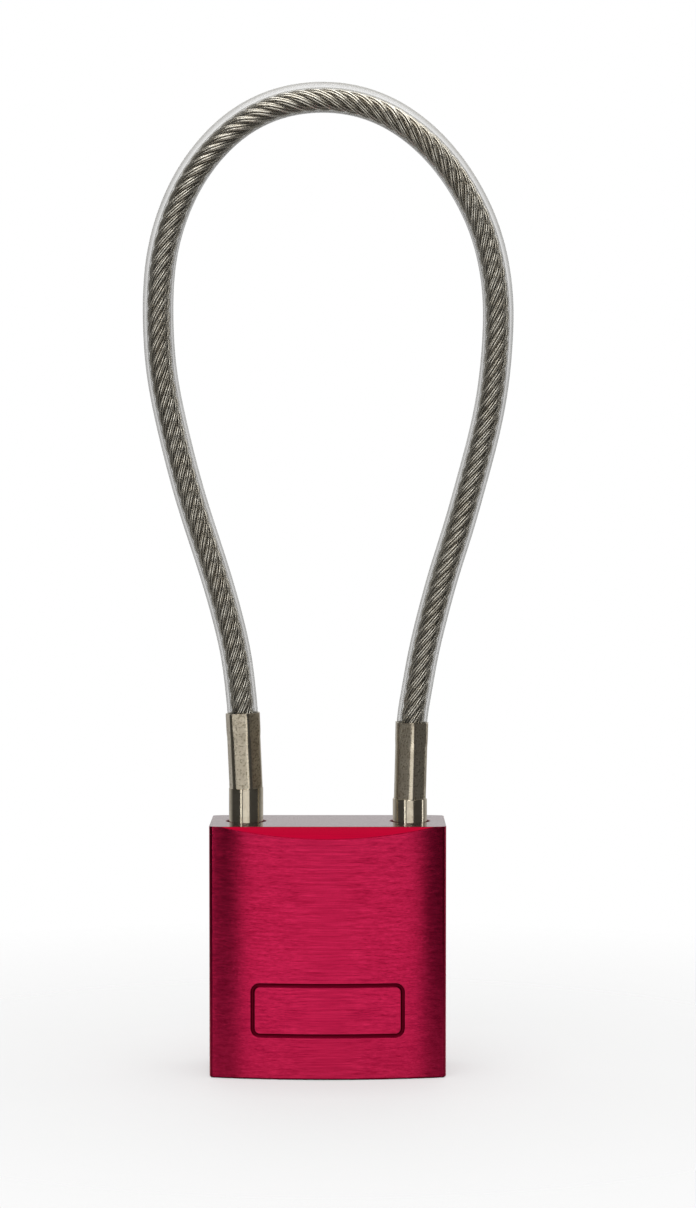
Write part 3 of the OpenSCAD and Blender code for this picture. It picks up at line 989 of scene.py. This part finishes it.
@dataclass
class Terminal:
    """One crimped terminal: a turned stud in the body and a hexagonal socket above it."""

    leg: Leg
    body_h: float
    turn: float
    foot: float
    neck: tuple[float, float] | None = None
    stud_r: float = 2.2
    mouth_r: float = 2.25
    ridge_r: float = 2.17
    flat_r: float = 2.0
    neck_r: float = 1.25
    jacket_bore: float = 1.985
    rope_bore: float = 1.56
    rope_seat: float = 8.1
    lip_h: float = 2.0
    lead: float = 0.6
    waist_drop: float = 3.1
    ledge: float = 0.1
    wall: float = 0.02
    flat_flare: float = 0.035
    flat_ease: float = 0.04
    tilt_below: float = 0.15
    tilt_over: float = 0.3
    crimp_edge: float = 0.03
    edge_angle: float = 32.0
    ball_x: float = 7.6
    ball_z: float = 26.5
    notch_r: float = 1.75
    notch_reach: float = 4.0
    sides: int = 180

    # rise above the waist, and how far the crimp has opened towards the mouth
    FLARE = ((0.25, 0.35), (0.6, 0.75), (1.0, 0.9), (2.0, 1.0), (3.0, 1.0))

    def stations(self) -> list[tuple[float, float, float]]:
        """Returns each ring's height, round radius and flat radius, foot to socket floor.

        A flat radius of nought means that the ring is plain round.
        """
        stud, ridge, flat, bore = self.stud_r, self.ridge_r, self.flat_r, self.jacket_bore
        rings = [(self.foot, stud - self.lead, 0), (self.foot + self.lead, stud, 0)]
        if self.neck:
            low, high = self.neck
            rings += [(low, stud, 0), (low + self.wall, self.neck_r, 0)]
            rings += [(high, self.neck_r, 0), (high + self.wall, stud, 0)]
        step = self.body_h + self.leg.shoulder
        top = self.body_h + self.leg.mouth
        waist, floor = top - self.waist_drop, top - self.lip_h
        rings += [(step - self.ledge, stud, 0), (step - 0.03, stud - 0.02, 0)]
        rings += [(step, ridge, flat + 0.03), (step + self.ledge, ridge, flat)]
        for share in np.linspace(0.1, 1.0, 8):
            rise = self.ledge + share * (waist - step - self.ledge)
            rings.append((step + rise, ridge, flat))
        for rise, share in self.FLARE:
            flared = ridge + (self.mouth_r - ridge) * share
            rings.append((waist + rise, flared, flat + self.flat_flare * share))
        rings += [(top - 0.02, self.mouth_r - 0.03, flat + 0.02), (top, self.mouth_r - 0.1, 0)]
        rings += [(top, bore + 0.06, 0), (top - 0.06, bore, 0), (floor, bore, 0)]
        rings += [(floor - self.wall, self.rope_bore, 0), (top - self.rope_seat, self.rope_bore, 0)]
        return rings

    def radius(self, angles: np.ndarray, round_r: float, flat_r: float) -> np.ndarray:
        """Returns the radius round one ring, its flats eased into its ridges."""
        if not flat_r:
            return np.full(len(angles), round_r)
        sixth = math.pi / 3
        off = (angles - math.radians(self.turn) - sixth / 2) % sixth - sixth / 2
        flat = flat_r / np.cos(off)
        return 0.5 * (round_r + flat - np.sqrt((round_r - flat) ** 2 + self.flat_ease**2))

    def build(self, finish: Finish) -> Piece:
        """Makes the terminal, with the notch for its locking ball.

        Args:
            finish: the plating.

        Returns:
            The terminal.
        """
        angles = full_turn(self.sides)
        side, shoulder = self.leg.side, self.leg.shoulder
        rows, pressed = [], []
        for height, round_r, flat_r in self.stations():
            r = self.radius(angles, round_r, flat_r)
            above = height - self.body_h
            place_x, _ = self.leg.at(max(above, shoulder))
            eased = np.clip((above - shoulder + self.tilt_below) / self.tilt_over, 0.0, 1.0)
            tilt = math.radians(self.leg.lean) * side.value * eased
            x, y = r * np.cos(angles), r * np.sin(angles)
            rows.append(np.stack([place_x + x * math.cos(tilt), y, height - x * math.sin(tilt)], 1))
            pressed.append(np.clip((round_r - r) / self.crimp_edge, 0.0, 1.0))
        name = f"crimped_{side.name.lower()}_terminal"
        piece = mesh_object(name, np.concatenate(rows), capped_faces(len(rows), self.sides))
        mark_points(piece, "crimp", pressed)
        notch = [(self.notch_r, -self.notch_reach), (self.notch_r, self.notch_reach)]
        carve(piece, [turned("notch", notch, (side.value * self.ball_x, 0, self.ball_z), "Y")])
        sharpen(piece, self.edge_angle)
        piece.data.materials.append(finish)
        return piece


# ---------------------------------------------------------------- body


@dataclass
class Body:
    """The aluminium body: two curved faces, a chamfered top, bores and a blank engraved frame."""

    width: float
    depth: float
    height: float
    face_r: float = 65.0
    corner_r: float = 0.6
    chamfer: float = 1.45
    foot_break: float = 0.3
    edge_round: float = 0.16
    leg_x: float = 10.5
    bore_r: float = 2.5
    heel_floor: float = 3.0
    toe_floor: float = 21.9
    housing_r: float = 6.25
    fin_half: float = 2.55
    fin_end: float = 10.1
    pocket_top: float = 20.45
    cavity_top: float = 29.0
    ball_window_r: float = 1.65
    ball_z: float = 26.5
    stop_hole_r: float = 0.76
    stop_z: float = 22.0
    screw_hole_r: float = 1.1
    arc_reach: float = 0.005
    frame_w: float = 19.0
    frame_h: float = 6.4
    frame_z: float = 8.8
    frame_corner: float = 0.9
    groove_r: float = 0.3
    groove_out: float = 0.12
    mouth_break: float = 0.15
    sharp_angle: float = 30.0
    on_face: float = 0.02
    weld: float = 1e-7

    def face_y(self, x: np.ndarray | float) -> np.ndarray | float:
        """Returns Y of the front face at X."""
        return self.face_r - self.depth / 2 - np.sqrt(self.face_r**2 - np.square(x))

    def outline(self, inset: float) -> np.ndarray:
        """Returns the body's outline, anticlockwise from the front left, drawn in by inset."""
        centre = self.face_r - self.depth / 2
        big = self.face_r - inset
        r = self.corner_r - 0.5 * inset
        x = self.width / 2 - inset - r
        y = centre - math.sqrt((big - r) ** 2 - x**2)
        run_out = math.sqrt(self.face_r**2 - (self.face_r - self.chamfer) ** 2)
        end = math.asin(x / (big - r))
        edge = math.asin(run_out / self.face_r)
        arc = np.concatenate([
            np.linspace(-end, -edge, 7)[:-1],
            np.linspace(-edge, edge, 97)[:-1],
            np.linspace(edge, end, 7),
        ])
        front = np.stack([big * np.sin(arc), centre - big * np.cos(arc)], 1)
        bend = np.linspace(end - math.pi / 2, 0.0, 9)[1:]
        corner = ring_at(x, y, r, bend)
        side = np.stack([np.full(3, x + r), [y / 2, 0.0, -y / 2]], 1)
        half = np.concatenate([front, corner, side])
        right_back = corner[::-1] * [1, -1]
        left_front = corner[::-1] * [-1, 1]
        return np.concatenate([half, right_back, -front, -corner, -side, left_front])

    def block(self) -> Piece:
        """Makes the outside of the body, with its chamfers and its foot's rounding."""
        inner = self.depth / 2 - self.chamfer
        rows = []
        for turn in np.linspace(0.0, math.pi / 2, 5):
            ring = self.outline(self.foot_break * (1 - math.sin(turn)))
            rows.append(level(ring, self.foot_break * (1 - math.cos(turn))))
        ring = self.outline(0.0)
        drop = np.maximum(0.0, np.abs(ring[:, 1]) - inner)
        rows.append(level(ring, self.height - drop))
        top = ring.copy()
        top[:, 1] = np.sign(ring[:, 1]) * np.minimum(np.abs(ring[:, 1]), inner)
        rows.append(level(top, self.height))
        sides = len(ring)
        faces = capped_faces(len(rows), sides)
        piece = mesh_object("anodised_body", np.concatenate(rows), faces)
        mesh = bmesh.new()
        mesh.from_mesh(piece.data)
        bmesh.ops.remove_doubles(mesh, verts=mesh.verts, dist=self.weld)
        bmesh.ops.dissolve_degenerate(mesh, edges=mesh.edges, dist=self.weld)
        mesh.to_mesh(piece.data)
        mesh.free()
        soften = piece.modifiers.new("edges", "BEVEL")
        soften.width = self.edge_round * MM
        soften.segments = 3
        soften.limit_method = "ANGLE"
        soften.angle_limit = math.radians(self.sharp_angle)
        settle(piece)
        return piece

    def groove(self) -> Piece:
        """Makes the cutter of the engraved frame, a round bar that follows the curved face."""
        r, sides = self.frame_corner, 20
        x, z = self.frame_w / 2 - r, self.frame_h / 2 - r
        path = []
        corners = ((x, z, 0), (-x, z, 90), (-x, -z, 180), (x, -z, 270))
        shares = np.linspace(0.0, 1.0, 26)[1:-1, None]
        for (cx, cz, start), (nx, nz, after) in zip(corners, corners[1:] + corners[:1]):
            bend = ring_at(cx, cz, r, np.radians(np.linspace(start, start + 90, 9)))
            there = ring_at(nx, nz, r, np.radians([after]))
            path += [bend, bend[-1] + (there - bend[-1]) * shares]
        flat = np.concatenate(path)
        front = self.face_y(flat[:, 0]) - self.groove_out
        line = np.stack([flat[:, 0], front, flat[:, 1] + self.frame_z], 1)
        ahead = np.roll(line, -1, 0) - np.roll(line, 1, 0)
        ahead /= np.linalg.norm(ahead, axis=1)[:, None]
        out = np.tile([0.0, -1.0, 0.0], (len(line), 1))
        across = np.cross(ahead, out)
        skin = swept(line, out, across, self.groove_r, sides)
        return mesh_object("groove", skin, ring_faces(len(line), sides, closed=True))

    def pocket(self) -> Piece:
        """Makes the cutter of the pear-shaped pocket for the cylinder."""
        start = math.asin(self.fin_half / self.housing_r)
        round_ = np.linspace(start, 2 * math.pi - start, 97)
        nose = np.linspace(-math.pi / 2, math.pi / 2, 33)
        fin = ring_at(self.fin_end, 0, self.fin_half, nose)
        outline = np.concatenate([ring_at(0, 0, self.housing_r, round_), fin])
        sides = len(outline)
        rows = [level(outline, z) for z in (-1.0, self.pocket_top)]
        return mesh_object("pocket", np.concatenate(rows), capped_faces(2, sides))

    def bore(self, side: Side, floor: float) -> Piece:
        """Makes the cutter of one leg's bore, with the break at its mouth."""
        r, top, lip = self.bore_r, self.height, self.mouth_break
        profile = [(r, floor), (r, top - lip), (r + lip / 3, top - lip * 0.35)]
        profile += [(r + lip, top), (r + lip, top + 1)]
        return turned("bore", profile, (side.value * self.leg_x, 0, 0), sides=128)

    def cross_holes(self) -> list[Piece]:
        """Makes the cutters of the ball windows, the stop pin's hole and the screw's hole."""
        window, stop, screw = self.ball_window_r, self.stop_hole_r, self.screw_hole_r
        low, high = self.pocket_top - 0.05, self.toe_floor + 0.05
        across = [(window, -self.leg_x), (window, self.leg_x)]
        return [
            turned("ball_window", across, (0, 0, self.ball_z), "X", 64),
            turned("stop_hole", [(stop, -self.leg_x), (stop, 0.0)], (0, 0, self.stop_z), "X", 48),
            turned("screw_hole", [(screw, low), (screw, high)], (self.leg_x, 0, 0), "Z", 48),
        ]

    def build(self, finishes: Sequence[Finish]) -> Piece:
        """Makes the body and gives each kind of surface its own finish.

        Args:
            finishes: one finish for each Zone, in order.

        Returns:
            The body.
        """
        piece = self.block()
        r, top = self.housing_r, self.pocket_top
        cavity = [(r - 0.5, top - 0.5), (r, top + 0.1), (r, self.cavity_top)]
        cutters = [self.groove(), self.bore(Side.HEEL, self.heel_floor)]
        cutters += [self.bore(Side.TOE, self.toe_floor), self.pocket()]
        cutters += [turned("cavity", cavity, (0, 0, 0)), *self.cross_holes()]
        carve(piece, cutters)
        for finish in finishes:
            piece.data.materials.append(finish)
        self.sort_zones(piece)
        self.true_normals(piece)
        return piece

    def sort_zones(self, piece: Piece) -> None:
        """Sets each face's finish from where it lies and how it faces."""
        facing_up, sloping, facing_out, margin = 0.9, 0.3, 0.5, 0.1
        chamfer_foot = self.height - self.chamfer - margin
        for face in piece.data.polygons:
            centre, (_, forward, up) = np.array(face.center) / MM, face.normal
            gap = abs(abs(centre[1]) + self.face_y(centre[0]))
            skin = abs(forward) > facing_out and gap < self.on_face
            if up > facing_up and centre[2] > self.height - 2 * margin:
                zone = Zone.TOP
            elif up > sloping and abs(forward) > sloping and centre[2] > chamfer_foot:
                zone = Zone.CHAMFER
            else:
                # faces inside the groove and bores take the darker finish that paints their shade
                zone = Zone.CUT if self.inside(centre) and not skin else Zone.FACE
            face.material_index = zone.value

    def inside(self, centre: np.ndarray) -> bool:
        """Returns whether a point lies in the groove or in one of the bores."""
        in_depth = abs(centre[1]) < -self.face_y(centre[0]) - 0.03
        in_width = abs(centre[0]) < self.width / 2 - 0.2
        return bool(in_depth and in_width and 0.02 < centre[2] < self.height - 0.02)

    def on_arc(self, mesh: bpy.types.Mesh, face: bpy.types.MeshPolygon) -> bool:
        """Returns whether a face lies on one of the two arcs, clear of corners and edges."""
        if abs(face.normal[2]) > 0.02 or abs(face.normal[1]) < 0.95:
            return False
        spots = np.array([mesh.vertices[v].co for v in face.vertices]) / MM
        off = np.abs(np.abs(spots[:, 1]) + self.face_y(spots[:, 0]))
        return bool(np.all(off < self.arc_reach))

    def true_normals(self, piece: Piece) -> None:
        """Shades the two curved faces as true arcs and the flat top level, the rest by angle."""
        mesh = piece.data
        sharpen(piece, self.sharp_angle)
        centre_y = self.face_r - self.depth / 2
        loops = [tuple(n.vector) for n in mesh.corner_normals]
        for face in mesh.polygons:
            if face.normal[2] > 0.9999:
                for loop in face.loop_indices:
                    loops[loop] = (0.0, 0.0, 1.0)
            if face.material_index != Zone.FACE.value or not self.on_arc(mesh, face):
                continue
            back = centre_y if face.normal[1] > 0 else -centre_y
            for loop in face.loop_indices:
                at = mesh.vertices[mesh.loops[loop].vertex_index].co
                way = np.array([at.x / MM, at.y / MM + back, 0.0])
                loops[loop] = tuple(way / np.linalg.norm(way))
        mesh.normals_split_custom_set(loops)


# ---------------------------------------------------------------- pieces carried over


@dataclass
class Inside:
    """The pieces inside the body, kept as the frame has them and given their finishes."""

    nodes: dict[str, Piece]

    def dress(self, finishes: dict[str, Finish]) -> None:
        """Gives each node that stays its finish.

        Args:
            finishes: a finish for each start of a node's name.
        """
        for name, node in self.nodes.items():
            for start, finish in finishes.items():
                if name.startswith(start):
                    node.data.materials.clear()
                    node.data.materials.append(finish)
                    LOG.info("%s: %s", name, finish.name)


@dataclass
class Springs:
    """The six coil springs, which in the lock sit between the body and what each pushes; each is a
    plain copy of its node.
    """

    nodes: dict[str, Piece]

    def build(self, finish: Finish) -> None:
        """Makes a copy of each spring node in its place, gives it the finish and hides the node.

        Args:
            finish: the spring steel.
        """
        for name, node in self.nodes.items():
            if "spring" not in name:
                continue
            piece = linked(name.replace("spring", "coil"), node.data.copy())
            piece.data.materials.clear()
            piece.data.materials.append(finish)
            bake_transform(piece)
            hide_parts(name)


def main() -> None:
    """Builds the studio, the cable, the terminals and the body, and dresses the rest."""
    logging.basicConfig(level=logging.INFO, format="%(name)s: %(message)s")
    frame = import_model()
    low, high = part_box("lock_body")
    width, depth, height = [(high[k] - low[k]) / MM for k in range(3)]
    effects = Effects()
    Studio().build()

    finishes = make_finishes(effects)
    nickel, steel = finishes["nickel_plate"], finishes["turned_steel"]
    heel_leg = Leg(Side.HEEL, shoulder=4.3, mouth=13.9, lean=2.5)
    toe_leg = Leg(Side.TOE, shoulder=2.9, mouth=12.7, lean=1.5)
    cable = Cable(height, heel_leg, toe_leg)
    jacket, line, length = cable.jacket(finishes["clear_jacket"])
    LOG.info("%s: %.1f mm long", jacket.name, length)
    strands = cable.rope(finishes["rope_wire"], finishes["rope_core"])
    heel = Terminal(heel_leg, height, turn=-43.0, foot=9.9, neck=(11.65, 23.0)).build(nickel)
    toe = Terminal(toe_leg, height, turn=4.0, foot=23.5).build(nickel)
    zones = [finishes[f"anodised_{zone.name.lower()}"] for zone in Zone]
    body = Body(width, depth, height).build(zones)
    for piece in (*strands, heel, toe, body):
        LOG.info("%s: %d faces", piece.name, len(piece.data.polygons))
    for piece in (jacket, heel, toe, *strands):
        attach(piece, "shackle")
    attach(body, "case")
    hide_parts("cable_jacket")
    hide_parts("wire_rope")
    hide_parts("heel_terminal")
    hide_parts("toe_terminal")
    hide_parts("lock_body")
    brass, black = finishes["turned_brass"], finishes["black_steel"]
    dressing = {
        "cylinder_housing": brass,
        "chamber_caps": brass,
        "plug": brass,
        "key_pin": brass,
        "locking_rotor": brass,
        "plug_clip": black,
        "cylinder_screw": black,
        "heel_stop_pin": black,
        "heel_ball": steel,
        "toe_ball": steel,
        "driver_pin": steel,
    }
    Springs(dict(frame["nodes"])).build(steel)
    Inside({n: o for n, o in frame["nodes"].items() if not o.hide_render}).dress(dressing)


if __name__ == "__main__":
    main()
